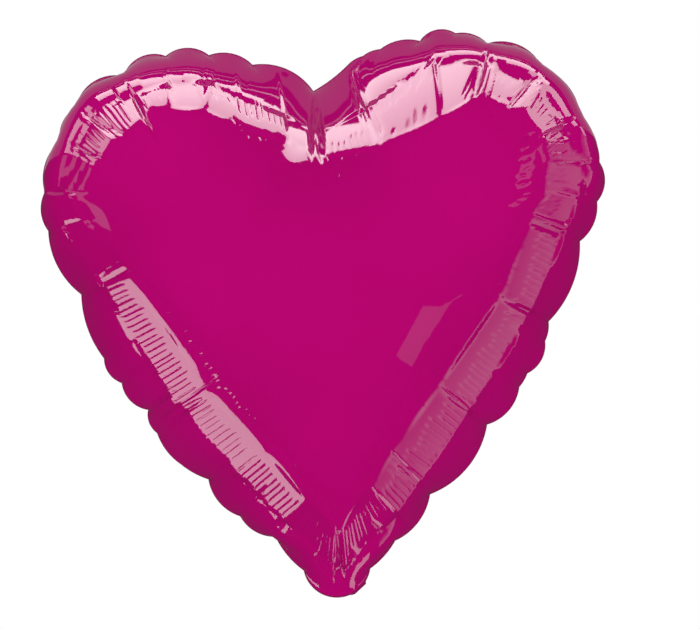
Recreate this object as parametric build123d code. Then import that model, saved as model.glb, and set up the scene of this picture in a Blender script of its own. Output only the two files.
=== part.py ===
"""Heart-shaped foil balloon, inflated, with its tail folded up behind the lower tip.

Millimetres. +X is the balloon's right as it is looked at, +Y points to its back, +Z is up.
The origin is the neck, at the lowest point of the seam, where a ribbon or stick is fixed.
Film and weld thicknesses are stand-ins, many times the real film's 0.03 mm.
"""
from build123d import *
import math
import os

# ---- envelope sizes ---------------------------------------------------------------------
HEART_WIDTH = 380.0          # over the scallops of the seam
HEART_HEIGHT = 378.0         # lowest scallop to the top of the lobes
HEART_DEPTH = 188.0          # front face to rear face, inflated
CLEFT_DEPTH = 37.0           # cleft below the top of the lobes
PANEL_WALL = 0.8             # film stand-in
DOME_LEVELS = (0.0, 0.25, 0.48, 0.68, 0.84, 0.93, 0.98)   # shares of the half depth
SEAM_THICKNESS = 0.6         # two films welded together
SEAM_LAP = 3.5               # weld inside the rim of the panels
SCALLOP_COUNT = 37           # odd, so a pucker at the cleft faces a scallop at the tip
SCALLOP_RISE = 4.0           # each scallop stands this far past its two puckers
PUCKER_PROUD = 0.8           # pucker points past the panels' rim

# ---- neck and tail sizes ----------------------------------------------------------------
NECK_WIDTH = 16.0            # gathered width where the tail leaves the seam
NECK_TAB_REACH = 1.6         # welded tab behind the seam
NECK_TAB_THICKNESS = 1.6     # two foils and two valve films
FOLD_BACK = 3.5              # fold line behind the seam plane
FOLD_RISE = 0.5              # fold line above the origin
TAIL_REST_ANGLE = 66.0       # folded tail, measured back from straight up
TAIL_WIDTH = 34.0
TAIL_LENGTH = 72.0           # fold line to mouth
TAIL_SHOULDER = 16.0         # where the tail reaches its full width
TAIL_WELD_WIDTH = 3.0
TAIL_WALL = 0.45             # foil leaf stand-in
LIP_LENGTH = 14.0            # loose end of each leaf, past the side welds
LIP_GAP = 1.2                # bare crease between leaf and lip
LINER_WALL = 0.30            # polyethylene film stand-in
LINER_GAP = 0.30             # between the two liner films
LINER_SIDE_CLEARANCE = 0.2   # liner to side weld

# ---- inner valve sizes ------------------------------------------------------------------
VALVE_WIDTH = 28.0
VALVE_LENGTH = 88.0          # hinge line to inner end
VALVE_SHOULDER = 16.0        # where the valve reaches its full width
VALVE_WALL = 0.40
VALVE_GAP = 0.40             # flat channel between the two films
VALVE_WELD_WIDTH = 3.0
VALVE_HINGE_RISE = 12.0      # hinge line above the rim of the panels
THROAT_WIDTH = 11.0
THROAT_LAP = 1.2             # throat films over the seam's inner edge
ROOT_CLEARANCE = 1.8         # root of a turning strip to its hinge line


# ---- planes and outlines that several pieces share --------------------------------------
RIM_MARGIN = PUCKER_PROUD + SCALLOP_RISE      # the scallops past the panels' rim
RIM_HALF_WIDTH = HEART_WIDTH / 2 - RIM_MARGIN
RIM_HEIGHT = HEART_HEIGHT - 2 * RIM_MARGIN
DOME_CENTRE = Vector(0, RIM_MARGIN + 0.60 * RIM_HEIGHT)   # the domes close over this point

REST_ANGLE = math.radians(TAIL_REST_ANGLE)
TAIL_PLANE = Plane(                           # Y along the tail, Z towards the rear panel
    origin=(0, FOLD_BACK, FOLD_RISE),
    x_dir=(1, 0, 0),
    z_dir=(0, -math.cos(REST_ANGLE), math.sin(REST_ANGLE)),
)
VALVE_PLANE = Plane(                          # Y up the valve, Z towards the front
    origin=(0, 0, RIM_MARGIN + VALVE_HINGE_RISE),
    x_dir=(1, 0, 0),
    z_dir=(0, -1, 0),
)


def rim_points():
    """The panels' rim in the seam plane: the cleft, the right side, the tip, the left."""
    side = (                                  # shares of the half width and the height
        (0.160, 0.950),
        (0.450, 1.000),
        (0.690, 0.970),
        (0.900, 0.870),
        (1.000, 0.718),
        (0.930, 0.577),
        (0.770, 0.420),
        (0.550, 0.265),
        (0.335, 0.135),
        (0.135, 0.030),
    )
    right = [(x * RIM_HALF_WIDTH, RIM_MARGIN + z * RIM_HEIGHT) for x, z in side]
    left = [(-x, z) for x, z in reversed(right)]
    cleft = (0, RIM_MARGIN + RIM_HEIGHT - CLEFT_DEPTH)
    return [cleft] + right + [(0, RIM_MARGIN)] + left


def heart_wire(scale, level):
    """The rim scaled about the domes' centre, at a distance in front of the seam plane."""
    points = [DOME_CENTRE + (Vector(x, z) - DOME_CENTRE) * scale for x, z in rim_points()]
    return Plane.XZ.offset(level) * Wire([Edge.make_spline(points, periodic=True)])


def strip_face(plane, outline, start, end, inset=0.0):
    """A flat strip along the plane's Y, whose narrow root widens to its full width."""
    root_width, full_width, shoulder = outline

    def half_width(position):
        share = min(1, position / shoulder)
        return (root_width + (full_width - root_width) * share) / 2 - inset

    stations = [start, end]
    if start < shoulder < end:
        stations = [start, shoulder, end]
    right = [(half_width(position), position) for position in stations]
    left = [(-x, position) for x, position in reversed(right)]
    return plane * make_face(Polyline(*right, *left, close=True).edges())


def slab(face, plane, low, high):
    """A face of the plane, thickened between two distances along the plane's Z."""
    return extrude(face.moved(Location(plane.z_dir * low)), high - low, dir=plane.z_dir)


def side_welds(plane, outline, start, end, width, half_thickness):
    """The left and right edge strips of an outline, where two films are welded."""
    whole = slab(strip_face(plane, outline, start, end), plane, -half_thickness, half_thickness)
    middle = strip_face(plane, outline, start, end, inset=width)
    cut = slab(middle, plane, -2 * half_thickness, 2 * half_thickness)
    solids = (whole - cut).solids().sort_by(Axis.X)
    return solids[0], solids[-1]


# ---- envelope ---------------------------------------------------------------------------
def make_dome(half_depth, base_level, shrink):
    """A solid dome on the heart outline, bulging to the front, nearly flat on its crown."""
    sections = []
    for share in DOME_LEVELS:
        scale = math.sqrt(1 - share**2) * shrink
        sections.append(heart_wire(scale, base_level + share * half_depth))
    return Solid.make_loft(sections)


def make_panels():
    """The front and rear foil panels: shells that are open at the seam."""
    seat = SEAM_THICKNESS / 2
    half_depth = (HEART_DEPTH / 2 - seat) / DOME_LEVELS[-1]
    outside = make_dome(half_depth, seat, 1.0)
    inside = make_dome(half_depth - PANEL_WALL, seat, 1 - PANEL_WALL / (HEART_WIDTH / 2))
    front = outside - inside
    return front, mirror(front, about=Plane.XZ)


def make_seam_ring():
    """The flat welded edge, whose outer edge is a row of arcs between the puckers."""
    rim = heart_wire(1.0, 0)

    def beyond_rim(place, distance):
        outward = rim.tangent_at(place % 1).cross(Vector(0, 1, 0)).normalized()
        return rim.position_at(place % 1) + outward * distance

    arcs = []
    for index in range(SCALLOP_COUNT):
        start, middle, end = [(index + step) / SCALLOP_COUNT for step in (0, 0.5, 1)]
        arcs.append(
            Edge.make_three_point_arc(
                beyond_rim(start, PUCKER_PROUD),
                beyond_rim(middle, PUCKER_PROUD + SCALLOP_RISE),
                beyond_rim(end, PUCKER_PROUD),
            )
        )
    inner = Face(heart_wire(1 - SEAM_LAP / (HEART_WIDTH / 2), 0))
    return extrude(Face(Wire(arcs)) - inner, SEAM_THICKNESS / 2, dir=(0, 1, 0), both=True)


def make_seam_pieces():
    """The welded edge, and the stretch of it at the tip that also holds the valve films."""
    ring = make_seam_ring()
    neck_zone = Pos(0, 0, RIM_MARGIN) * Box(NECK_WIDTH, HEART_DEPTH, 4 * RIM_MARGIN)
    tab = Pos(0, SEAM_THICKNESS / 2, FOLD_RISE + NECK_TAB_THICKNESS / 2) * Box(
        NECK_WIDTH,
        NECK_TAB_REACH,
        NECK_TAB_THICKNESS,
        align=(Align.CENTER, Align.MIN, Align.CENTER),
    )
    return ring - neck_zone, (ring & neck_zone) + tab


def make_throat():
    """The two valve films where they leave the neck weld, up to the valve's hinge line."""
    length = VALVE_HINGE_RISE - ROOT_CLEARANCE - SEAM_LAP + THROAT_LAP
    top = RIM_MARGIN + VALVE_HINGE_RISE - ROOT_CLEARANCE
    film = Box(
        THROAT_WIDTH,
        VALVE_WALL,
        length,
        align=(Align.CENTER, Align.MIN, Align.MAX),
    )
    rear = Pos(0, SEAM_THICKNESS / 2, top) * film
    return Compound(children=[rear, mirror(rear, about=Plane.XZ)])


# ---- inner valve ------------------------------------------------------------------------
def make_valve():
    """Two polyethylene films, welded down both sides, that press shut inside the heart."""
    outline = (THROAT_WIDTH, VALVE_WIDTH, VALVE_SHOULDER)
    span = (ROOT_CLEARANCE, VALVE_LENGTH)
    face = strip_face(VALVE_PLANE, outline, *span)
    inner = VALVE_GAP / 2
    left, right = side_welds(VALVE_PLANE, outline, *span, VALVE_WELD_WIDTH, inner)
    return {
        "valve_front_film": slab(face, VALVE_PLANE, inner, inner + VALVE_WALL),
        "valve_rear_film": slab(face, VALVE_PLANE, -inner - VALVE_WALL, -inner),
        "valve_left_weld": left,
        "valve_right_weld": right,
    }


# ---- tail -------------------------------------------------------------------------------
def make_tail():
    """Two foil leaves welded down both sides, lined with the outer ends of the valve."""
    outline = (NECK_WIDTH, TAIL_WIDTH, TAIL_SHOULDER)
    span = (ROOT_CLEARANCE, TAIL_LENGTH - LIP_LENGTH - LIP_GAP)
    leaf = strip_face(TAIL_PLANE, outline, *span)
    liner = strip_face(
        TAIL_PLANE, outline, *span, inset=TAIL_WELD_WIDTH + LINER_SIDE_CLEARANCE
    )
    bore = LINER_GAP / 2
    film = bore + LINER_WALL
    skin = film + TAIL_WALL
    left, right = side_welds(TAIL_PLANE, outline, *span, TAIL_WELD_WIDTH, film)
    return {
        "tail_front_leaf": slab(leaf, TAIL_PLANE, -skin, -film),
        "tail_rear_leaf": slab(leaf, TAIL_PLANE, film, skin),
        "tail_left_weld": left,
        "tail_right_weld": right,
        "tail_front_liner": slab(liner, TAIL_PLANE, -film, -bore),
        "tail_rear_liner": slab(liner, TAIL_PLANE, bore, film),
    }


def make_lips():
    """The loose ends of the leaves, each with its liner film bonded on: the mouth."""
    outline = (NECK_WIDTH, TAIL_WIDTH, TAIL_SHOULDER)
    span = (TAIL_LENGTH - LIP_LENGTH, TAIL_LENGTH)
    leaf = strip_face(TAIL_PLANE, outline, *span)
    liner = strip_face(
        TAIL_PLANE, outline, *span, inset=TAIL_WELD_WIDTH + LINER_SIDE_CLEARANCE
    )
    bore = LINER_GAP / 2
    film = bore + LINER_WALL
    skin = film + TAIL_WALL
    return {
        "front_lip": slab(leaf, TAIL_PLANE, -skin, -film),
        "rear_lip": slab(leaf, TAIL_PLANE, film, skin),
        "front_lip_liner": slab(liner, TAIL_PLANE, -film, -bore),
        "rear_lip_liner": slab(liner, TAIL_PLANE, bore, film),
    }


# ---- all pieces -------------------------------------------------------------------------
def main():
    front_panel, rear_panel = make_panels()
    edge_weld, neck_weld = make_seam_pieces()
    pieces = {
        "front_panel": front_panel,
        "rear_panel": rear_panel,
        "edge_weld": edge_weld,
        "neck_weld": neck_weld,
        "valve_throat": make_throat(),
    }
    pieces.update(make_valve())
    pieces.update(make_tail())
    pieces.update(make_lips())
    os.makedirs("parts", exist_ok=True)
    for name, shape in pieces.items():
        export_step(shape, f"parts/{name}.step")


if __name__ == "__main__":
    main()
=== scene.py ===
import bpy
import math
import numpy as np
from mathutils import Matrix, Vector
from mathutils.bvhtree import BVHTree
from mathutils.geometry import delaunay_2d_cdt


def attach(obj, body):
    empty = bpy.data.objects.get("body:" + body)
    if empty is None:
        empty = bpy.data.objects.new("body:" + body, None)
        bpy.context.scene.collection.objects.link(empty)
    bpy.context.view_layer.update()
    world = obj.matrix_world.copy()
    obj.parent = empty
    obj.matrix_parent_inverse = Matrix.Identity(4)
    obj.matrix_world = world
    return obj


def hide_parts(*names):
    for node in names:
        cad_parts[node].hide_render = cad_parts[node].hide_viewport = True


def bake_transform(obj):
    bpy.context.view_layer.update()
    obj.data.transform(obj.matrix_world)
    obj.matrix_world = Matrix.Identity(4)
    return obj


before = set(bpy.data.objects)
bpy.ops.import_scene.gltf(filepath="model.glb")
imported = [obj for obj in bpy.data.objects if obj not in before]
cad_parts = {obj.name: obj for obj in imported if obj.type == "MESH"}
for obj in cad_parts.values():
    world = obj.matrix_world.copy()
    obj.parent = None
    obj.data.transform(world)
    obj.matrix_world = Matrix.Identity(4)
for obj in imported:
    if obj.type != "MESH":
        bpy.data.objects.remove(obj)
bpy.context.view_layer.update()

MM = 0.001


# ---- Seam line --------------------------------------------------------------------------
# Two hearts of film are heat-welded all round their edge. When the balloon is blown tight the
# weld gathers at small puckers and bows out between them as a row of scallops.

# Each pucker, from the cleft down the left lobe to the tip and up the right lobe: its place
# across and up in mm, how far the scallop after it bows out, and how deep its crease is (0 to 1).
SCALLOPS = (
    (-1, 341, 6.6, 1.0),
    (-41, 361, 4.5, 0.2),
    (-70, 369, 5.3, 0.5),
    (-99, 370, 6.8, 0.6),
    (-128, 358, 8.0, 1.0),
    (-161, 339, 3.8, 0.7),
    (-173, 317, 5.2, 0.8),
    (-185, 283, 3.8, 0.6),
    (-184, 257, 5.5, 0.6),
    (-164, 213, 3.7, 0.9),
    (-151, 169, 3.3, 0.4),
    (-140, 152, 4.4, 0.4),
    (-123, 133, 2.6, 0.4),
    (-118, 117, 2.2, 0.9),
    (-103, 95, 1.0, 0.3),
    (-85, 84, 4.7, 0.4),
    (-65, 58, 3.9, 0.6),
    (-42, 43, 1.9, 0.3),
    (-24, 19, 18.7, 0.35),
    (20, 18, 1.4, 0.35),
    (38, 36, 5.0, 0.4),
    (63, 66, 8.2, 0.7),
    (104, 111, 5.0, 0.8),
    (127, 135, 0.5, 0.3),
    (133, 144, 4.0, 0.3),
    (146, 165, 1.0, 0.4),
    (149, 178, 6.1, 0.7),
    (173, 231, 3.9, 0.9),
    (186, 257, 5.1, 0.6),
    (188, 285, 4.0, 0.6),
    (178, 314, 6.2, 0.7),
    (154, 349, 7.6, 0.9),
    (118, 367, 2.9, 1.0),
    (97, 375, 5.1, 0.05),
    (73, 371, 3.3, 0.2),
    (46, 367, 1.0, 0.1),
    (34, 363, 0.8, 0.1),
    (24, 358, -1.1, 0.5),
)
SEAM_STEP = 0.5              # mm between points along the seam


def arc_points(start, end, rise, count):
    """Points along a circular arc, without its end point; it bows to the right of its chord."""
    start = np.array(start, float)
    chord = np.array(end, float) - start
    length = np.hypot(*chord)
    along = chord / length
    outward = np.array([along[1], -along[0]])
    share = np.arange(count)[:, None] / count
    radius = (length**2 / 4 + rise**2) / (2 * rise)
    half = math.asin(length / 2 / radius)
    angle = half * (2 * share - 1)
    across = length / 2 + radius * np.sin(angle)
    up = radius * np.cos(angle) - radius + rise
    return start + along * across + outward * up


def lay_out_seam():
    """The scalloped seam line, and for each of its points the scallop it lies on."""
    points, owners = [], []
    for index, scallop in enumerate(SCALLOPS):
        following = SCALLOPS[(index + 1) % len(SCALLOPS)]
        length = math.dist(scallop[:2], following[:2])
        count = round(length / SEAM_STEP)
        points.append(arc_points(scallop[:2], following[:2], scallop[2], count))
        owners.append(np.full(count, index))
    return np.concatenate(points), np.concatenate(owners)


def blur_round(values, reach):
    """A Gaussian blur along a closed line; reach is in points."""
    frequency = np.fft.fftfreq(len(values)) * 2 * math.pi
    damping = np.exp(-0.5 * (frequency * reach) ** 2)
    shape = (-1,) + (1,) * (values.ndim - 1)
    return np.fft.ifft(np.fft.fft(values, axis=0) * damping.reshape(shape), axis=0).real


seam, scallop_of = lay_out_seam()
seam_count = len(seam)
seam_mean = blur_round(seam, 12 / SEAM_STEP)      # the heart without its scallops


# ---- Film, cut flat and blown up --------------------------------------------------------
# The film hardly stretches, so the flat hearts are cut larger than the finished balloon. The
# gas pushes the two apart while the seam draws in; the slack along it goes into fine crimps.

HEART_CENTRE = np.array([0, 205])
CUT_ACROSS = 1.22            # flat cut over finished size
CUT_UP = 1.20
FILM_STEP = 5.0              # mm between the simulated points near the seam
FILM_FRAMES = 36
SOLVER_SCALE = 10 * MM       # the solver is steadier on a large model


def inside(points, outline):
    """Which points lie within a closed outline."""
    x, y = points.T
    result = np.zeros(len(points), bool)
    for (x0, y0), (x1, y1) in zip(outline, np.roll(outline, -1, axis=0)):
        if y0 != y1:
            result ^= ((y0 > y) != (y1 > y)) & (x < (x1 - x0) * (y - y0) / (y1 - y0) + x0)
    return result


def edge_distance(points, outline):
    """How far each point is from the nearest corner of an outline."""
    nearest = np.full(len(points), np.inf)
    for corner in outline:
        nearest = np.minimum(nearest, np.hypot(*(points - corner).T))
    return nearest


def cut_film():
    """One flat heart as triangles: fine by the seam, coarse in the middle."""
    flat_seam = HEART_CENTRE + (seam_mean - HEART_CENTRE) * (CUT_ACROSS, CUT_UP)
    steps = np.hypot(*np.diff(np.vstack([flat_seam, flat_seam[:1]]), axis=0).T)
    travelled = np.concatenate([[0], np.cumsum(steps)])
    count = round(travelled[-1] / FILM_STEP)
    places = np.interp(np.arange(count) * travelled[-1] / count, travelled, np.arange(seam_count + 1))
    held = places.astype(int) % seam_count
    outline = flat_seam[held]
    random = np.random.default_rng(3)
    low, high = outline.min(0), outline.max(0)
    fill = []
    for step, near, far in ((1.0, 0.7 * FILM_STEP, 40), (1.6, 40, 85), (2.6, 85, 1000)):
        step = step * FILM_STEP
        grid = [
            (x + step / 2 * (row % 2), y)
            for row, y in enumerate(np.arange(low[1], high[1], step * 0.866))
            for x in np.arange(low[0], high[0], step)
        ]
        grid = np.array(grid) + random.normal(0, 0.1 * step, (len(grid), 2))
        grid = grid[inside(grid, outline)]
        distance = edge_distance(grid, outline)
        fill.append(grid[(distance > near) & (distance <= far)])
    points = np.vstack([outline] + fill)
    edges = [(i, (i + 1) % count) for i in range(count)]
    result = delaunay_2d_cdt([Vector(p) for p in points], edges, [], 1, 1e-6)
    flat = np.array([tuple(v) for v in result[0]])
    owner = np.array([min((o for o in group if o < count), default=-1) for group in result[3]])
    return flat, np.array(result[2]), owner, held, flat_seam


def blow_up():
    """The simulated balloon: the flat heart, its triangles, and its front and rear in 3-D."""
    flat, triangles, owner, held, flat_seam = cut_film()
    count = len(flat)
    free = owner < 0
    rear = np.arange(count)
    rear[free] = count + np.arange(free.sum())
    total = count + free.sum()
    slack = 0.2 + 6 * np.clip(edge_distance(flat, flat[~free]) / 100, 0, 1)
    start = np.zeros((total, 3))
    start[:count, 0], start[:count, 2] = flat.T
    start[rear, 0], start[rear, 2] = flat.T
    start[:count, 1][free] = -slack[free]
    start[rear[free], 1] = slack[free]
    gathered = start.copy()
    seam_points = np.flatnonzero(~free)
    gathered[seam_points, 0], gathered[seam_points, 2] = seam[held[owner[seam_points]]].T

    faces = np.vstack([triangles, rear[triangles[:, ::-1]]])
    mesh = bpy.data.meshes.new("film")
    mesh.from_pydata((start * SOLVER_SCALE).tolist(), [], faces.tolist())
    film = bpy.data.objects.new("film", mesh)
    bpy.context.scene.collection.objects.link(film)
    if mesh.polygons[0].normal.y > 0:
        mesh.flip_normals()
    film.shape_key_add(name="cut flat")
    key = film.shape_key_add(name="gathered")
    key.data.foreach_set("co", (gathered * SOLVER_SCALE).ravel())
    key.value = 0
    key.keyframe_insert("value", frame=1)
    key.value = 1
    key.keyframe_insert("value", frame=12)
    weld = film.vertex_groups.new(name="weld")
    weld.add(seam_points.tolist(), 1.0, "REPLACE")

    cloth = film.modifiers.new("film", "CLOTH")
    settings = cloth.settings
    settings.vertex_group_mass = "weld"
    settings.quality = 8
    settings.mass = 0.3
    settings.tension_stiffness = 40
    settings.shear_stiffness = 40
    settings.compression_stiffness = 0
    settings.bending_stiffness = 10
    settings.tension_damping = 5
    settings.shear_damping = 5
    settings.air_damping = 5
    settings.use_pressure = True
    settings.uniform_pressure_force = 8
    settings.effector_weights.gravity = 0
    cloth.collision_settings.use_collision = False
    cloth.collision_settings.use_self_collision = False
    cloth.point_cache.frame_end = FILM_FRAMES
    for number in range(1, FILM_FRAMES + 1):
        bpy.context.scene.frame_set(number)
    shown = film.evaluated_get(bpy.context.evaluated_depsgraph_get())
    blown = np.zeros(total * 3, np.float32)
    shown.data.vertices.foreach_get("co", blown)
    blown = blown.reshape(-1, 3).astype(float) / SOLVER_SCALE
    bpy.context.scene.frame_set(1)
    bpy.data.objects.remove(film)
    return flat, triangles, flat_seam, blown[:count], blown[rear]


flat_film, film_triangles, flat_seam, film_front, film_rear = blow_up()


# ---- Foil panels ------------------------------------------------------------------------
# The front and rear panels are the same aluminised nylon film, printed magenta. Blown tight,
# each scallop pulls its film into a flat facet, with a sharp crease running in from the pucker
# beside it and a comb of fine crimps across the shoulder.

COLUMNS = 1800
ROW_SHARES = np.concatenate(
    [[0, 0.004, 0.010, 0.018, 0.028], np.arange(0.040, 0.245, 0.0125), np.arange(0.250, 0.565, 0.010)]
)                            # of the way from the seam to the middle
JOINING_SHARES = (0.575, 0.600, 0.635)
FILL_STEP = 5.0              # mm between points in the middle
CREASE_DEPTH = 1.5           # mm at a full crease
CRIMP_PITCH = 4.2            # mm
CRIMP_DEPTH = 0.42

# The shoulder is a band of flat facets all round. Each row is the corner where a facet starts:
# its outer and inner point in mm and the facet's tilt in degrees, then its comb of crimps: where
# they start and end (0 the outer edge, 1 the inner) and how deep they are.
SHOULDER = (
    ((2, 312), (2, 298), 41, 0, 0, 0),
    ((-22, 325), (-20, 308), 41, -0.05, 0.5, 0.9),
    ((-52, 340), (-51, 320), 41, -0.05, 0.35, 0.6),
    ((-69, 349), (-74, 332), 40, 0, 0, 0),
    ((-97, 350), (-99, 334), 37, -0.1, 0.5, 0.5),
    ((-114, 344), (-110, 333), 37, -0.1, 0.9, 0.8),
    ((-131, 341), (-121, 324), 36, -0.1, 0.95, 1),
    ((-152, 330), (-138, 314), 37, -0.1, 0.95, 1),
    ((-161, 310), (-150, 302), 37, 0, 0, 0),
    ((-174, 279), (-166, 278), 42, 0, 0, 0),
    ((-173, 258), (-162, 266), 42, 0.4, 1.3, 0.4),
    ((-147, 216), (-130, 222), 43, -0.05, 0.8, 1.2),
    ((-106, 140), (-85, 152), 43, -0.05, 0.8, 1.4),
    ((-100, 135), (-82, 144), 43, -0.05, 0.8, 1.4),
    ((-64, 87), (-45, 101), 42.5, -0.05, 0.8, 1.5),
    ((-36, 55), (-20, 67), 43, -0.05, 0.9, 1.2),
    ((-2, 21), (-1, 44), 46, 0, 0, 0),
    ((4, 20), (4, 48), 43, 0.2, 0.9, 0.4),
    ((41, 57), (26, 76), 43.5, -0.05, 0.7, 1.2),
    ((69, 89), (47, 106), 44, -0.05, 0.7, 1.1),
    ((93, 120), (73, 138), 44.5, -0.05, 0.6, 0.9),
    ((136, 183), (116, 194), 44.5, 0, 0, 0),
    ((139, 186), (119, 197), 44, -0.05, 0.6, 1),
    ((163, 240), (141, 249), 43, 0, 0, 0),
    ((165, 243), (142, 252), 43, 0.5, 0.95, 0.9),
    ((175, 263), (149, 262), 42, 0.45, 0.95, 1.2),
    ((178, 283), (153, 287), 41, 0.3, 0.95, 1.2),
    ((167, 301), (150, 302), 37, -0.1, 0.9, 1),
    ((165, 309), (151, 304), 38, -0.1, 0.8, 1),
    ((149, 338), (140, 320), 37.5, -0.1, 0.4, 0.6),
    ((119, 351), (113, 331), 37.5, 0, 0, 0),
    ((111, 353), (108, 331), 38.5, 0, 0, 0),
    ((80, 356), (82, 318), 37.5, -0.05, 0.25, 0.6),
    ((32, 326), (41, 303), 39, 0.5, 1.1, 0.3),
    ((28, 324), (36, 300), 41, 0.55, 1.15, 1),
    ((3, 311), (4, 296), 41, 0, 0, 0),
)

# Creases that run on across the front, as start, end, depth in mm.
FRONT_CREASES = (
    ((-1, 341), (-1, 312), 1.6),
    ((-1, 312), (3, 289), 0.8),
    ((118, 367), (108, 331), 1.2),
    ((108, 331), (127, 305), 0.7),
    ((112, 358), (106, 330), 0.5),
    ((123, 352), (112, 322), 0.6),
    ((36, 330), (44, 306), 0.8),
    ((-128, 358), (-103, 306), 1.1),
    ((-158, 334), (-112, 308), 0.6),
    ((-176, 256), (-147, 215), 0.5),
    ((173, 231), (134, 250), 0.8),
    ((149, 178), (111, 201), 0.9),
    ((104, 111), (71, 142), 0.9),
    ((63, 66), (35, 103), 0.8),
    ((1, 12), (-1, 55), 1.0),
    ((-121, 123), (-66, 158), 0.9),
)


def smoothstep(value):
    """0 up to 0 and 1 from 1 on, with a soft start and end between."""
    value = np.clip(value, 0, 1)
    return value * value * (3 - 2 * value)


def subdivided(points, triangles, levels=3):
    """A smooth subdivision of a triangle mesh, as its points and its triangles."""
    mesh = bpy.data.meshes.new("cage")
    mesh.from_pydata(points.tolist(), [], triangles.tolist())
    cage = bpy.data.objects.new("cage", mesh)
    bpy.context.scene.collection.objects.link(cage)
    finer = cage.modifiers.new("finer", "SUBSURF")
    finer.levels = levels
    shown = cage.evaluated_get(bpy.context.evaluated_depsgraph_get()).data
    fine = np.zeros(len(shown.vertices) * 3, np.float32)
    shown.vertices.foreach_get("co", fine)
    corners = np.zeros(len(shown.loops), np.int32)
    shown.loops.foreach_get("vertex_index", corners)
    quads = corners.reshape(-1, 4)
    bpy.data.objects.remove(cage)
    return fine.reshape(-1, 3).astype(float), np.vstack([quads[:, [0, 1, 2]], quads[:, [0, 2, 3]]])


def as_flat(points):
    return np.column_stack([points, np.zeros(len(points))])


def find_on_film(places, flat, triangles):
    """For each place on the flat film, the triangle under it and its three weights."""
    tree = BVHTree.FromPolygons(flat.tolist(), triangles.tolist())
    found = np.array([tree.find_nearest(place)[2] for place in as_flat(places).tolist()])
    corners = flat[triangles[found]][:, :, :2]
    first, second = corners[:, 1] - corners[:, 0], corners[:, 2] - corners[:, 0]
    offset = places - corners[:, 0]
    size = first[:, 0] * second[:, 1] - first[:, 1] * second[:, 0]
    b = (offset[:, 0] * second[:, 1] - offset[:, 1] * second[:, 0]) / size
    c = (first[:, 0] * offset[:, 1] - first[:, 1] * offset[:, 0]) / size
    return triangles[found], np.column_stack([1 - b - c, b, c])


def around(line, count):
    """A closed line read at evenly spaced places."""
    places = np.arange(count) * len(line) / count
    closed = np.vstack([line, line[:1]])
    return np.column_stack([np.interp(places, np.arange(len(closed)), axis) for axis in closed.T])


def lay_out_film():
    """The panel's fine mesh on the flat film: its points and faces. Rows follow the seam."""
    rim = around(flat_seam, COLUMNS)
    rows = [HEART_CENTRE + (rim - HEART_CENTRE) * (1 - share) for share in ROW_SHARES]
    faces = []
    column = np.arange(COLUMNS)
    following = (column + 1) % COLUMNS
    for row in range(len(rows) - 1):
        low, high = row * COLUMNS, (row + 1) * COLUMNS
        faces += np.column_stack([low + column, low + following, high + following, high + column]).tolist()
    start, size, stride = (len(rows) - 1) * COLUMNS, COLUMNS, 1
    points = rows
    for share in JOINING_SHARES:
        stride *= 2
        points.append(HEART_CENTRE + (rim[::stride] - HEART_CENTRE) * (1 - share))
        finer, coarser = start, start + size
        half = size // 2
        for i in range(half):
            a, b, c = finer + 2 * i, finer + 2 * i + 1, finer + (2 * i + 2) % size
            d, e = coarser + i, coarser + (i + 1) % half
            faces += [[a, b, d], [b, e, d], [b, c, e]]
        start, size = coarser, half
    ring = points[-1]
    low, high = ring.min(0), ring.max(0)
    grid = np.array([
        (x + FILL_STEP / 2 * (row % 2), y)
        for row, y in enumerate(np.arange(low[1], high[1], FILL_STEP * 0.866))
        for x in np.arange(low[0], high[0], FILL_STEP)
    ])
    grid = grid[inside(grid, ring)]
    grid = grid[edge_distance(grid, ring) > 0.6 * FILL_STEP]
    edges = [(i, (i + 1) % size) for i in range(size)]
    result = delaunay_2d_cdt([Vector(p) for p in np.vstack([ring, grid])], edges, [], 1, 1e-6)
    origin = np.array([min(group) for group in result[3]])
    faces += [[int(start + origin[i]) for i in face] for face in result[2]]
    points.append(grid)
    return np.vstack(points), faces


film_points, film_faces = lay_out_film()
fine_flat, fine_triangles = subdivided(as_flat(flat_film), film_triangles)
film_corners, film_weights = find_on_film(film_points, fine_flat, fine_triangles)
seam_line = around(seam, COLUMNS)


def smooth_film(blown):
    """The panel's points in 3-D, freed of the solver's coarse triangles."""
    fine, triangles = subdivided(blown, film_triangles)
    points = (fine[film_corners] * film_weights[:, :, None]).sum(1)
    in_rows = len(ROW_SHARES) * COLUMNS
    grid = points[:in_rows].reshape(len(ROW_SHARES), COLUMNS, 3)
    target = np.column_stack([seam_line[:, 0], np.zeros(COLUMNS), seam_line[:, 1]])
    fade = np.exp(-(ROW_SHARES / 0.06) ** 2)[:, None, None]
    grid += (target - grid[0]) * fade
    reach = 5 / SEAM_STEP * COLUMNS / seam_count
    soft = np.array([blur_round(row, reach) for row in grid])
    keep = np.exp(-(ROW_SHARES / 0.05) ** 2)[:, None, None]
    grid = soft + (grid - soft) * keep
    for _ in range(20):
        grid[1:-1] += 0.25 * (grid[:-2] + grid[2:] - 2 * grid[1:-1]) * (1 - keep[1:-1])
    points[:in_rows] = grid.reshape(-1, 3)
    return points


def point_normals(mesh):
    normals = np.zeros(len(mesh.vertices) * 3, np.float32)
    mesh.vertex_normals.foreach_get("vector", normals)
    return normals.reshape(-1, 3).astype(float)


def press_crease(lift, plan, start, end, depth, width, ramp=0.25):
    """Presses one sharp straight crease into the film; it fades at both ends."""
    start, end = np.array(start, float), np.array(end, float)
    length = np.hypot(*(end - start))
    along = (end - start) / length
    offset = plan - start
    side = np.abs(offset @ np.array([-along[1], along[0]]))
    share = offset @ along / length
    near = (share > 0) & (share < 1) & (side < 6 * width)
    window = smoothstep(share[near] / ramp) * smoothstep((1 - share[near]) / ramp)
    lift[near] -= depth * np.exp(-side[near] / width) * window


FACET_BULGE = 0.2            # mm that a facet still bulges in its middle


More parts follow.
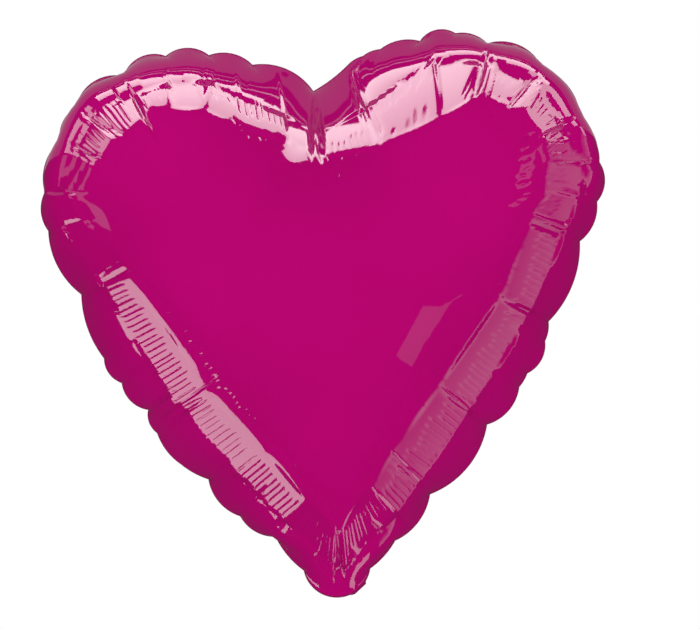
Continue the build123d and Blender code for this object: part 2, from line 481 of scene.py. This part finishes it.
def depth_at(points, place):
    """How far from the seam plane the film stands over one place on the plan."""
    return abs(points[np.argmin(np.hypot(*(points[:, [0, 2]] - place).T)), 1])


def past_line(plan, start, end):
    """How far each place lies to the right of a line from start to end."""
    along = (end - start) / np.hypot(*(end - start))
    return (plan - start) @ np.array([along[1], -along[0]])


def flatten_facets(points):
    """Pulls the film flat on each facet of the shoulder; the film outside it eases back."""
    full = points.copy()
    plan = full[:, [0, 2]]
    front = np.sign(full[np.argmax(np.abs(full[:, 1])), 1])
    depth = np.abs(full[:, 1])
    for row, following in zip(SHOULDER, SHOULDER[1:] + SHOULDER[:1]):
        outer, inner, next_outer, next_inner = np.array(row[:2] + following[:2], float)
        start, end = depth_at(full, inner), depth_at(full, next_inner)
        across = next_inner - inner
        slope = (end - start) / (across @ across)
        tilt = math.tan(math.radians(row[2]))
        flat = start + slope * ((plan - inner) @ across) - tilt * past_line(plan, inner, next_inner)
        beyond = past_line(plan, outer, next_outer)
        within = smoothstep(1 + past_line(plan, inner, next_inner) / 3)
        within *= smoothstep(1 + past_line(plan, outer, inner) / 3)
        within *= smoothstep(1 + past_line(plan, next_inner, next_outer) / 3)
        middle = (outer + next_outer) / 2
        rise = start + slope * ((middle - inner) @ across)
        rise -= tilt * past_line(middle, inner, next_inner) + depth_at(full, middle)
        room = np.hypot(*(seam_line - middle).T).min()
        ease = rise * np.clip(1 - beyond / room, 0, 1)
        share = past_line(plan, inner, next_inner) / past_line(middle, inner, next_inner)
        flat += FACET_BULGE * 4 * share * (1 - share)
        change = np.where(beyond > 0, ease, flat - np.abs(full[:, 1]))
        depth += within * film_hold * (np.abs(full[:, 1]) + change - depth)
    points[:, 1] = front * depth


row_hold = 1 - np.exp(-(ROW_SHARES / 0.02) ** 2)
film_hold = np.ones(len(film_points))          # 0 where the weld holds the film, 1 away from it
film_hold[:len(ROW_SHARES) * COLUMNS] = np.repeat(row_hold, COLUMNS)

seam_way = blur_round(np.roll(seam_mean, -1, axis=0) - np.roll(seam_mean, 1, axis=0), 12 / SEAM_STEP)
seam_way /= np.hypot(*seam_way.T)[:, None]
seam_inward = np.column_stack([-seam_way[:, 1], seam_way[:, 0]])
scallop_start = np.searchsorted(scallop_of, np.arange(len(SCALLOPS)))


def make_panel(name, blown, creases, seed):
    """One foil panel: its facets flattened, then its creases and combs of crimps pressed in."""
    points = smooth_film(blown)
    faces = film_faces if blown[:, 1].mean() < 0 else [face[::-1] for face in film_faces]
    mesh = bpy.data.meshes.new(name)
    mesh.from_pydata((points * MM).tolist(), [], faces)
    flatten_facets(points)
    mesh.vertices.foreach_set("co", (points * MM).ravel())
    mesh.update()
    normals = point_normals(mesh)
    plan = points[:, [0, 2]]
    lift = np.zeros(len(points))

    random = np.random.default_rng(seed)
    for index, (x, z, _, crease) in enumerate(SCALLOPS):
        at = scallop_start[index]
        inward = seam_inward[at]
        length = 12 + 40 * crease
        press_crease(lift, plan, (x, z), (x, z) + inward * length, CREASE_DEPTH * crease, 1.3, 0.5)
        for turn in random.uniform(-0.24, 0.24, round(9 * max(crease - 0.5, 0))):
            way = inward * math.cos(turn) + seam_way[at] * math.sin(turn)
            near, far = random.uniform(8, 16), length * random.uniform(0.6, 0.9)
            depth = random.uniform(0.15, 0.5) * crease
            press_crease(lift, plan, (x, z) + way * near, (x, z) + way * far, depth, 0.7)
    for start, end, depth in creases:
        press_crease(lift, plan, start, end, depth, 1.1)
    for row, following in zip(SHOULDER, SHOULDER[1:] + SHOULDER[:1]):
        corners = np.array(row[:2] + following[:2], float)
        count = round(np.hypot(*(corners[2] - corners[0])) / CRIMP_PITCH)
        for share in (np.arange(count) + random.uniform(0.35, 0.65, count)) / max(count, 1):
            outer, inner = corners[:2] + (corners[2:] - corners[:2]) * share
            first, last = np.array(row[3:5]) + random.uniform(-0.06, 0.12, 2)
            depth = CRIMP_DEPTH * row[5] * random.uniform(0.6, 1.1)
            way = inner - outer
            press_crease(lift, plan, outer + way * first, outer + way * last, depth, 0.45, 0.15)
            if random.random() < row[5] - 0.3:
                first, last = last + random.uniform(0.35, 0.5), last + random.uniform(0.7, 0.95)
                press_crease(lift, plan, outer + way * first, outer + way * last, 1.3 * depth, 0.8, 0.5)

    points += normals * lift[:, None]
    mesh.vertices.foreach_set("co", (points * MM).ravel())
    mesh.update()
    mesh.shade_smooth()
    panel = bpy.data.objects.new(name, mesh)
    bpy.context.scene.collection.objects.link(panel)
    return panel


front_foil = make_panel("front_foil", film_front, FRONT_CREASES, 11)
rear_foil = make_panel("rear_foil", film_rear, (), 12)


# ---- Printed foil finish ----------------------------------------------------------------
# The film is nylon with a vapour of aluminium behind, printed with a strong magenta ink that
# hides most of the metal. Its outer face is a bare, glass-smooth skin that gives the gloss.

def linear(code):
    """An sRGB hex colour as linear light."""
    parts = [int(code[i:i + 2], 16) / 255 for i in (1, 3, 5)]
    return [part / 12.92 if part <= 0.04045 else ((part + 0.055) / 1.055) ** 2.4 for part in parts] + [1]


def add_node(tree, kind, inputs=(), links=(), **settings):
    """Adds a node with its input values, its links as input = (node, output), and settings."""
    node = tree.nodes.new(kind)
    for name, value in settings.items():
        setattr(node, name, value)
    for name, value in dict(inputs).items():
        node.inputs[name].default_value = value
    for name, (source, output) in dict(links).items():
        tree.links.new(source.outputs[output], node.inputs[name])
    return node


def new_material(name):
    material = bpy.data.materials.new(name)
    material.use_nodes = True
    material.node_tree.nodes.clear()
    return material, material.node_tree


def make_printed_foil():
    """Deep saturated magenta under a mirror-sharp clear skin, a little uneven in its ink."""
    material, tree = new_material("printed_magenta_foil")
    place = add_node(tree, "ShaderNodeTexCoord")
    ink = add_node(
        tree, "ShaderNodeTexNoise", {"Scale": 9.0, "Detail": 2.0}, {"Vector": (place, "Object")}
    )
    shade = add_node(tree, "ShaderNodeValToRGB", links={"Fac": (ink, "Fac")})
    shade.color_ramp.elements[0].position = 0.3
    shade.color_ramp.elements[0].color = linear("#B2016B")
    shade.color_ramp.elements[1].position = 0.7
    shade.color_ramp.elements[1].color = linear("#BA0171")
    skin = add_node(
        tree,
        "ShaderNodeBsdfPrincipled",
        {
            "Metallic": 0.0,
            "Roughness": 0.5,
            "Specular IOR Level": 0.0,
            "Coat Weight": 1.0,
            "Coat Roughness": 0.03,
            "Coat IOR": 1.5,
        },
        {"Base Color": (shade, "Color")},
    )
    add_node(tree, "ShaderNodeOutputMaterial", links={"Surface": (skin, "BSDF")})
    return material


printed_foil = make_printed_foil()
for foil, node in ((front_foil, "front_panel"), (rear_foil, "rear_panel")):
    foil.data.materials.append(printed_foil)
    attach(foil, "envelope")
    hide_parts(node)


# ---- Edge weld --------------------------------------------------------------------------
# The two panels are fused along a narrow line all round, trimmed close. The crushed film is duller than
# the panels, and its colour is darker partly as crushed film and partly as painted shade for the rim turning
# away.

WELD_HALF_WIDTH = 0.9        # mm
WELD_HALF_THICKNESS = 0.45
WELD_SIDES = 10


def make_weld():
    """A slim bead that follows the scallops."""
    way = np.roll(seam_line, -1, axis=0) - np.roll(seam_line, 1, axis=0)
    way = blur_round(way, 1.5)
    way /= np.hypot(*way.T)[:, None]
    outward = np.column_stack([way[:, 1], -way[:, 0]])
    turns = np.arange(WELD_SIDES) * 2 * math.pi / WELD_SIDES
    rings = []
    for turn in turns:
        ring = seam_line + outward * (WELD_HALF_WIDTH * math.cos(turn) - 0.4)
        depth = np.full(COLUMNS, WELD_HALF_THICKNESS * math.sin(turn))
        rings.append(np.column_stack([ring[:, 0], depth, ring[:, 1]]))
    points = np.concatenate(rings)
    column = np.arange(COLUMNS)
    following = (column + 1) % COLUMNS
    faces = []
    for side in range(WELD_SIDES):
        low, high = side * COLUMNS, (side + 1) % WELD_SIDES * COLUMNS
        faces += np.column_stack([low + column, high + column, high + following, low + following]).tolist()
    mesh = bpy.data.meshes.new("edge_weld_bead")
    mesh.from_pydata((points * MM).tolist(), [], faces)
    mesh.shade_smooth()
    bead = bpy.data.objects.new("edge_weld_bead", mesh)
    bpy.context.scene.collection.objects.link(bead)
    return bead


def make_pressed_foil_with_painted_shade():
    """The same magenta with a satin gloss, darker partly as crushed film and partly as painted shade."""
    material, tree = new_material("heat_pressed_foil_with_painted_shade")
    skin = add_node(
        tree,
        "ShaderNodeBsdfPrincipled",
        {
            # Darker than the panels: partly crushed film, partly painted shade standing in for the dark
            # turned-away rim.
            "Base Color": linear("#8E0256"),
            "Roughness": 0.45,
            "Specular IOR Level": 0.0,
            "Coat Weight": 0.4,
            "Coat Roughness": 0.25,
        },
    )
    add_node(tree, "ShaderNodeOutputMaterial", links={"Surface": (skin, "BSDF")})
    return material


pressed_foil_with_painted_shade = make_pressed_foil_with_painted_shade()
edge_bead = make_weld()
edge_bead.data.materials.append(pressed_foil_with_painted_shade)
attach(edge_bead, "envelope")
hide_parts("edge_weld")


# ---- Neck weld --------------------------------------------------------------------------
# At the tip one broad weld gathers both panels, the two valve films and the root of the tail.
# The jaws leave it stiff, with small pleats where the film was drawn together.

NECK_HALF_WIDTH = 8.0        # mm
PLEAT_PITCH = 1.7


def make_slab(name, middle, thickness):
    """A thin closed slab round a grid of points in mm."""
    rows, columns = middle.shape[:2]
    face = np.cross(np.gradient(middle, axis=1), np.gradient(middle, axis=0))
    face *= thickness / 2 / np.linalg.norm(face, axis=2, keepdims=True)
    points = np.concatenate([(middle + face).reshape(-1, 3), (middle - face).reshape(-1, 3)])
    grid = np.arange(rows * columns).reshape(rows, columns)
    quads = np.stack([grid[:-1, :-1], grid[:-1, 1:], grid[1:, 1:], grid[1:, :-1]], 2).reshape(-1, 4)
    rim = np.concatenate([grid[0, :-1], grid[:-1, -1], grid[-1, :0:-1], grid[:0:-1, 0]])
    following = np.roll(rim, -1)
    under = rows * columns
    sides = np.column_stack([following, rim, rim + under, following + under])
    mesh = bpy.data.meshes.new(name)
    mesh.from_pydata((points * MM).tolist(), [], np.vstack([quads, quads[:, ::-1] + under, sides]).tolist())
    mesh.shade_smooth()
    mesh.set_sharp_from_angle(angle=math.radians(50))
    slab = bpy.data.objects.new(name, mesh)
    bpy.context.scene.collection.objects.link(slab)
    return slab


def pleats(across):
    """How far the gathered film stands proud at a distance across the neck, in mm."""
    return 0.28 * np.sin(across * 2 * math.pi / PLEAT_PITCH) + 0.12 * np.sin(across * 2.3)


def make_neck():
    """The weld lies in the seam plane and turns back into the tab that carries the tail."""
    across = np.linspace(-NECK_HALF_WIDTH, NECK_HALF_WIDTH, 90)
    profile = np.array([(0.0, 8.0), (0.0, 5.0), (0.05, 2.6), (0.5, 1.6), (1.1, 1.3), (1.7, 1.3), (2.2, 1.25)])
    steps = np.linspace(0, len(profile) - 1, 30)
    back, up = [np.interp(steps, np.arange(len(profile)), axis) for axis in profile.T]
    x, back = np.meshgrid(across, back)
    up = np.repeat(up[:, None], len(across), 1)
    flat = np.clip((up - 1.2) / 2, 0, 1)
    middle = np.stack([x, back + pleats(x) * flat, up + pleats(x) * (1 - flat)], 2)
    return make_slab("neck_weld_pleats", middle, 0.8)


neck_weld = make_neck()
neck_weld.data.materials.append(pressed_foil_with_painted_shade)
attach(neck_weld, "envelope")
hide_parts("neck_weld")


# ---- Tail and mouth ---------------------------------------------------------------------
# The filling tail is two leaves of the printed film, welded down both sides and folded up
# behind the tip. Past the welds the leaves hang loose as the two lips of the mouth. Lying
# folded has left it a little puffed and creased.

TAIL_FOLD = np.array([0, 3.5, 0.5])      # mm
TAIL_ALONG = np.array([0, 0.91355, 0.40674])
TAIL_OUT = np.array([0, -0.40674, 0.91355])
TAIL_HALF_WIDTH = 17.0
TAIL_ROOT = 1.8
TAIL_SPLIT = 56.8            # where the side welds end
TAIL_END = 72.0
SHOULDER_ALONG = 16          # where the tail and the valve reach their full width
SIDE_WELD = 3.0
LEAF_FILM = 0.14             # thickness of a leaf or lip as drawn

# Creases on the tail as start, end and depth in mm, measured across and along from the fold.
TAIL_CREASES = (
    ((-3, 0), (-9, 19), 0.7),
    ((-1, 0), (-2, 24), 0.5),
    ((2, 0), (4, 17), 0.6),
    ((5, 1), (12, 21), 0.7),
    ((-16, 27), (13, 36), 0.7),
    ((-4, 31), (3, 52), 0.4),
    ((16, 22), (2, 33), 0.5),
    ((-15, 45), (15, 49), 0.5),
)


def tail_half_width(along):
    share = np.minimum(along / SHOULDER_ALONG, 1)
    return NECK_HALF_WIDTH + (TAIL_HALF_WIDTH - NECK_HALF_WIDTH) * share


def tail_grid(first, last, inset=0.0, columns=56):
    """A grid over the tail, as distances across and along in mm."""
    along = np.linspace(first, last, max(round((last - first) / 0.7), 12))
    share = np.linspace(-1, 1, columns)
    return np.outer(tail_half_width(along) - inset, share), np.repeat(along[:, None], columns, 1)


def tail_points(across, along, lift):
    """Places on the tail in 3-D; every layer shares one gentle curl."""
    curl = 1.6 * np.sin(along / TAIL_END * math.pi * 0.9) - 0.9 * (across / TAIL_HALF_WIDTH) ** 2
    curl *= smoothstep(along / 18)
    out = lift + curl
    return (
        TAIL_FOLD
        + across[..., None] * np.array([1, 0, 0])
        + along[..., None] * TAIL_ALONG
        + out[..., None] * TAIL_OUT
    )


def leaf_lift(across, along, side):
    """How far a leaf stands from the tail's middle: puffed, creased, its lip curling away."""
    inner = np.clip(1 - (np.abs(across) / (tail_half_width(along) - SIDE_WELD)) ** 2, 0, 1)
    puff = 0.9 * inner * smoothstep(along / 14) * smoothstep((TAIL_SPLIT - along) / 16)
    plan = np.column_stack([across.ravel(), along.ravel()])
    press = np.zeros(len(plan))
    for start, end, depth in TAIL_CREASES:
        press_crease(press, plan, start, end, depth, 0.6)
    flare = 1.5 * smoothstep((along - 57.5) / 18)
    return side * (0.62 + puff + flare + press.reshape(across.shape) * np.sqrt(inner) * 0.6)


def finish_piece(piece, material, body, node):
    piece.data.materials.append(material)
    if isinstance(body, str):
        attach(piece, body)
    else:
        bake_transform(piece)
    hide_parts(node)


def strip_area(first, last, half_width):
    """The flat area of a strip in square metres, from its half width along its length."""
    along = np.linspace(first, last, 200)
    return float(np.mean(2 * half_width(along)) * (last - first)) * MM * MM


def crease_line(side):
    """The start and end of the crease where a lip turns, for the film that crosses it."""
    first, last = np.array([[0.0, 0.0]]), np.array([[TAIL_SPLIT + 0.2, TAIL_SPLIT + 1.6]])
    return (tail_points(first, last, np.full((1, 2), side * 0.6))[0] * MM).tolist()


for side, name in ((-1, "front"), (1, "rear")):
    across, along = tail_grid(TAIL_ROOT, TAIL_SPLIT)
    middle = tail_points(across, along, leaf_lift(across, along, side))
    leaf = make_slab(f"tail_{name}_leaf_film", middle, LEAF_FILM)
    finish_piece(leaf, printed_foil, "tail", f"tail_{name}_leaf")
    area = strip_area(TAIL_ROOT, TAIL_SPLIT, tail_half_width)
    across, along = tail_grid(TAIL_SPLIT, TAIL_END)
    middle = tail_points(across, along, leaf_lift(across, along, side))
    lip = make_slab(f"{name}_lip_film", middle, LEAF_FILM)
    way = ("tail", f"mouth_{name}_lip", *crease_line(side))
    finish_piece(lip, printed_foil, way, f"{name}_lip")


def make_side_weld(name, side, points, first, last, half_width, thickness):
    """A welded edge strip with the fine cross ribs that the hot jaws leave."""
    along = np.arange(first, last + 0.01, 0.2)
    share = np.linspace(0, 1, 6)
    outer = half_width(along)[:, None]
    across = side * (outer - SIDE_WELD * (1 - share))
    along = np.repeat(along[:, None], 6, 1)
    ribs = 0.05 * np.sin(along * 2 * math.pi / 1.1)
    return make_slab(name, points(across[:, ::side], along, ribs), thickness)


for side, name in ((-1, "left"), (1, "right")):
    ends = (TAIL_ROOT, TAIL_SPLIT)
    weld = make_side_weld(f"tail_{name}_weld_ribs", side, tail_points, *ends, tail_half_width, 1.0)
    finish_piece(weld, pressed_foil_with_painted_shade, "tail", f"tail_{name}_weld")


def make_fold():
    """The film that crosses the fold line, from the neck's tab to the root of the leaves."""
    across = np.linspace(-NECK_HALF_WIDTH, NECK_HALF_WIDTH, 90)
    profile = np.array([(1.5, 1.3), (2.4, 1.1), (3.5, 0.85), (4.4, 0.95), (5.2, 1.27), (6.0, 1.62)])
    steps = np.linspace(0, len(profile) - 1, 30)
    back, up = [np.interp(steps, np.arange(len(profile)), axis) for axis in profile.T]
    x, back = np.meshgrid(across, back)
    up = np.repeat(up[:, None], len(across), 1)
    return make_slab("tail_fold_film", np.stack([x, back, up + 0.5 * pleats(x)], 2), 0.9)


tail_fold = make_fold()
tail_fold.data.materials.append(pressed_foil_with_painted_shade)
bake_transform(tail_fold)


# ---- Liners and inner valve -------------------------------------------------------------
# The self-sealing valve is two strips of thin milky polyethylene, welded down their sides. It
# lines the tail and its lips, passes through the neck weld and hangs free inside the heart.

VALVE_HALF_WIDTH = 14.0      # mm
VALVE_HINGE = 16.8           # up from the tip
VALVE_END = 88.0             # past the hinge
THROAT_HALF_WIDTH = 5.5
LINER_FILM = 0.12            # thickness of a liner or valve film as drawn


def make_milky_film():
    """Polyethylene: milky and half clear, with a soft waxy gloss and slightly uneven haze."""
    material, tree = new_material("milky_polyethylene")
    place = add_node(tree, "ShaderNodeTexCoord")
    haze = add_node(
        tree, "ShaderNodeTexNoise", {"Scale": 120.0, "Detail": 3.0}, {"Vector": (place, "Object")}
    )
    rough = add_node(
        tree, "ShaderNodeMapRange", {"To Min": 0.28, "To Max": 0.42}, {"Value": (haze, "Fac")}
    )
    film = add_node(
        tree,
        "ShaderNodeBsdfPrincipled",
        {"Base Color": linear("#E4E8EA"), "IOR": 1.51, "Transmission Weight": 0.55},
        {"Roughness": (rough, "Result")},
    )
    add_node(tree, "ShaderNodeOutputMaterial", links={"Surface": (film, "BSDF")})
    return material


milky_film = make_milky_film()
liner_inset = SIDE_WELD + 0.2
for side, name in ((-1, "front"), (1, "rear")):
    across, along = tail_grid(TAIL_ROOT, TAIL_SPLIT, liner_inset)
    lift = leaf_lift(across, along, side) - side * 0.3
    liner = make_slab(f"tail_{name}_liner_film", tail_points(across, along, lift), LINER_FILM)
    finish_piece(liner, milky_film, "tail", f"tail_{name}_liner")
    area = strip_area(TAIL_ROOT, TAIL_SPLIT, lambda along: tail_half_width(along) - liner_inset)
    across, along = tail_grid(TAIL_SPLIT, TAIL_END, liner_inset)
    lift = leaf_lift(across, along, side) - side * 0.3
    liner = make_slab(f"{name}_lip_liner_film", tail_points(across, along, lift), LINER_FILM)
    way = ("tail", f"mouth_{name}_lip", *crease_line(side))
    finish_piece(liner, milky_film, way, f"{name}_lip_liner")


def valve_half_width(along):
    share = np.clip(along / SHOULDER_ALONG, 0, 1)
    return THROAT_HALF_WIDTH + (VALVE_HALF_WIDTH - THROAT_HALF_WIDTH) * share


def valve_points(across, along, lift):
    """Places on the valve in 3-D; the gas presses both films into one shallow wave."""
    wave = 0.5 * np.sin(along / 23) * smoothstep(along / 12) * (1 + 0.4 * np.sin(across / 6))
    return np.stack([across, -(lift + wave), VALVE_HINGE + along], -1)


for side, name in ((1, "front"), (-1, "rear")):
    along = np.linspace(TAIL_ROOT, VALVE_END, 120)
    across = np.outer(valve_half_width(along), np.linspace(-1, 1, 40))
    along = np.repeat(along[:, None], 40, 1)
    middle = valve_points(across, along, np.full(along.shape, side * 0.4))
    film = make_slab(f"valve_{name}_strip", middle, LINER_FILM)
    finish_piece(film, milky_film, "inner_valve", f"valve_{name}_film")
    area = strip_area(TAIL_ROOT, VALVE_END, valve_half_width)
    along = np.linspace(7.2, VALVE_HINGE + 2.4, 30) - VALVE_HINGE
    across = np.outer(np.full(30, THROAT_HALF_WIDTH), np.linspace(-1, 1, 20))
    along = np.repeat(along[:, None], 20, 1)
    middle = valve_points(across, along, np.full(along.shape, side * 0.4))
    throat = make_slab(f"throat_{name}_film", middle, LINER_FILM)
    way = ("envelope", "inner_valve", (0, 0, 0.0150), (0, 0, 0.0186))
    finish_piece(throat, milky_film, way, "valve_throat")
for side, name in ((-1, "left"), (1, "right")):
    ends = (TAIL_ROOT, VALVE_END)
    weld = make_side_weld(f"valve_{name}_weld_ribs", side, valve_points, *ends, valve_half_width, 0.6)
    finish_piece(weld, milky_film, "inner_valve", f"valve_{name}_weld")


# ---- Room, lights and camera ------------------------------------------------------------
# The balloon floats over a pale floor in a plain white room. Softboxes stand overhead and at
# its sides; they show in the gloss and the even light of the room colours the film.

def show_only(obj, *kinds):
    """Lets an object be seen by the named kinds of ray and no others."""
    for kind in ("camera", "diffuse", "glossy", "transmission", "volume_scatter", "shadow"):
        setattr(obj, "visible_" + kind, kind in kinds)


def make_softbox(name, corners, near, far=None):
    """A lit panel that only gloss shows; its strength runs from its first edge to its last."""
    mesh = bpy.data.meshes.new(name)
    mesh.from_pydata(corners, [], [(0, 1, 2, 3)])
    across = mesh.uv_layers.new(name="across")
    for corner, place in zip(across.data, ((0, 0), (1, 0), (1, 1), (0, 1))):
        corner.uv = place
    material, tree = new_material(name)
    place = add_node(tree, "ShaderNodeUVMap", uv_map="across")
    split = add_node(tree, "ShaderNodeSeparateXYZ", links={"Vector": (place, "UV")})
    strength = add_node(
        tree,
        "ShaderNodeMapRange",
        {"To Min": near, "To Max": near if far is None else far},
        {"Value": (split, "Y")},
        interpolation_type="SMOOTHSTEP",
    )
    glow = add_node(tree, "ShaderNodeEmission", links={"Strength": (strength, "Result")})
    add_node(tree, "ShaderNodeOutputMaterial", links={"Surface": (glow, "Emission")})
    mesh.materials.append(material)
    box = bpy.data.objects.new(name, mesh)
    bpy.context.scene.collection.objects.link(box)
    show_only(box, "glossy")


def toward(polar, azimuth, distance=2.0):
    """A place seen from the heart at an angle from straight ahead, turned round the view."""
    polar, azimuth = math.radians(polar), math.radians(azimuth)
    way = (math.sin(polar) * math.cos(azimuth), -math.cos(polar), math.sin(polar) * math.sin(azimuth))
    return [distance * part for part in way[:2]] + [distance * way[2] + 0.205]


def strip(name, polar_in, polar_out, azimuths, near, far=None, distance=2.0):
    """A softbox that fills a stretch of directions round the heart."""
    first, last = azimuths
    places = ((polar_in, first), (polar_in, last), (polar_out, last), (polar_out, first))
    make_softbox(name, [toward(*place, distance) for place in places], near, far)


CEILING = 0.97               # metres up; the softboxes hang 0.6 over the lobes


def ceiling_box(name, left, right, front, rear, near, far=None, slant=0):
    """A softbox flat overhead; slant sets its front right corner back from its front left one."""
    corners = [(left, front), (right, front + slant), (right, rear), (left, rear)]
    make_softbox(name, [(x, y, CEILING) for x, y in corners], near, far)


for name, left, right, front, rear, slant in (
    ("overhead_softbox_left", -0.60, 0.0, -0.36, -0.08, 0.16),
    ("overhead_softbox_middle", 0.0, 0.30, -0.165, -0.045, 0.025),
    ("overhead_softbox_right", 0.30, 0.75, -0.24, -0.06, 0.0),
):
    ceiling_box(name, left, right, front, rear, 8, 12, slant)
ceiling_box("softbox_rail", -0.50, 0.60, 0.005, 0.015, 4)
ceiling_box("softbox_wire", -0.50, 0.60, 0.06, 0.07, 1.5)
make_softbox("left_softbox", [toward(76, 200), toward(75, 246), toward(92, 246), toward(93, 200)], 4.8)
strip("left_fan", 66, 80, (138, 159), 5)
strip("right_fan", 68, 81, (22, 52), 6)
strip("left_card", 70, 80, (161, 184), 1.0)
strip("right_card", 82, 95, (-60, -8), 0.1, 1.6)
strip("right_card_high", 75, 90, (-8, 15), 0.3, 1.3)
strip("right_flag_low", 42, 54, (-37, -17), 0.6)
strip("right_flag_high", 48, 55, (2, 17), 0.8)
strip("low_lamp", 88, 95, (261, 274), 2.5, distance=0.9)
strip("right_spark_low", 82, 96, (-80, -67), 3, distance=0.9)
strip("right_spark_high", 84, 93, (13, 21), 4)
strip("ceiling", 93, 165, (20, 160), 0.42)
flag_corners = [(-0.9, -0.9, -1.1), (0.9, -0.9, -1.1), (0.9, 0.9, -1.1), (-0.9, 0.9, -1.1)]
make_softbox("black_flag", flag_corners, 0.03)

floor_points = [
    (0.6 * math.cos(turn), 0.6 * math.sin(turn), -1.2) for turn in np.arange(96) * 2 * math.pi / 96
]
floor_mesh = bpy.data.meshes.new("floor")
floor_mesh.from_pydata(floor_points, [], [tuple(range(96))])
# Matt paint: it only sends soft light up, and looked at by eye or in the gloss it is plain white.
floor_material, tree = new_material("pale_matt_floor")
path = add_node(tree, "ShaderNodeLightPath")
seen = add_node(
    tree,
    "ShaderNodeMath",
    links={"Value": (path, "Is Camera Ray")},
    operation="MAXIMUM",
)
tree.links.new(path.outputs["Is Glossy Ray"], seen.inputs[1])
seen_through = add_node(tree, "ShaderNodeMath", links={"Value": (seen, "Value")}, operation="MAXIMUM")
tree.links.new(path.outputs["Is Transmission Ray"], seen_through.inputs[1])
matt = add_node(tree, "ShaderNodeBsdfDiffuse", {"Color": linear("#F4F4F2")})
white = add_node(tree, "ShaderNodeEmission", {"Color": (1, 1, 1, 1), "Strength": 1.0})
shown = add_node(tree, "ShaderNodeMixShader", links={"Fac": (seen_through, "Value")})
tree.links.new(matt.outputs["BSDF"], shown.inputs[1])
tree.links.new(white.outputs["Emission"], shown.inputs[2])
add_node(tree, "ShaderNodeOutputMaterial", links={"Surface": (shown, "Shader")})
floor_mesh.materials.append(floor_material)
floor = bpy.data.objects.new("floor", floor_mesh)
bpy.context.scene.collection.objects.link(floor)

world = bpy.data.worlds.new("white_room")
bpy.context.scene.world = world
world.use_nodes = True
tree = world.node_tree
tree.nodes.clear()
path = add_node(tree, "ShaderNodeLightPath")
place = add_node(tree, "ShaderNodeTexCoord")
split = add_node(tree, "ShaderNodeSeparateXYZ", links={"Vector": (place, "Generated")})
around_view = add_node(
    tree, "ShaderNodeMapRange", {"From Min": -1.0, "From Max": 1.0}, {"Value": (split, "Y")}
)
wrap = add_node(tree, "ShaderNodeValToRGB", links={"Fac": (around_view, "Result")})
wrap.color_ramp.elements[0].position = 0.22
wrap.color_ramp.elements[0].color = (0.82, 0.82, 0.82, 1)
wrap.color_ramp.elements[1].position = 0.80
wrap.color_ramp.elements[1].color = (0.52, 0.52, 0.52, 1)
for position, level in ((0.32, 0.27), (0.70, 0.25)):
    wrap.color_ramp.elements.new(position).color = (level, level, level, 1)
upward = add_node(
    tree,
    "ShaderNodeMapRange",
    {"From Min": -1.0, "From Max": 1.0, "To Min": 1.38, "To Max": 1.62},
    {"Value": (split, "Z")},
)
even = add_node(tree, "ShaderNodeMath", links={"Value": (wrap, "Color")}, operation="MULTIPLY")
tree.links.new(upward.outputs["Result"], even.inputs[1])
backdrop = add_node(
    tree,
    "ShaderNodeMapRange",
    {"From Min": 0.985, "From Max": 0.99, "To Min": 0.03, "To Max": 1.0},
    {"Value": (split, "Y")},
)
lit = add_node(
    tree,
    "ShaderNodeMix",
    links={"Factor": (path, "Is Diffuse Ray"), "B": (even, "Value")},
    inputs={"A": 1.0},
)
shown = add_node(
    tree,
    "ShaderNodeMix",
    links={"Factor": (path, "Is Glossy Ray"), "A": (lit, "Result"), "B": (backdrop, "Result")},
)
room = add_node(
    tree, "ShaderNodeBackground", {"Color": (1, 1, 1, 1)}, {"Strength": (shown, "Result")}
)
add_node(tree, "ShaderNodeOutputWorld", links={"Surface": (room, "Background")})

camera = bpy.data.objects.new("camera", bpy.data.cameras.new("camera"))
bpy.context.scene.collection.objects.link(camera)
camera.location = (0.0159, -3.0, 0.1897)
camera.rotation_euler = (math.pi / 2, math.radians(3.045), 0)
camera.data.lens = camera.data.sensor_width * 3.0 / 0.4724
bpy.context.scene.camera = camera
bpy.context.scene.view_settings.view_transform = "Standard"
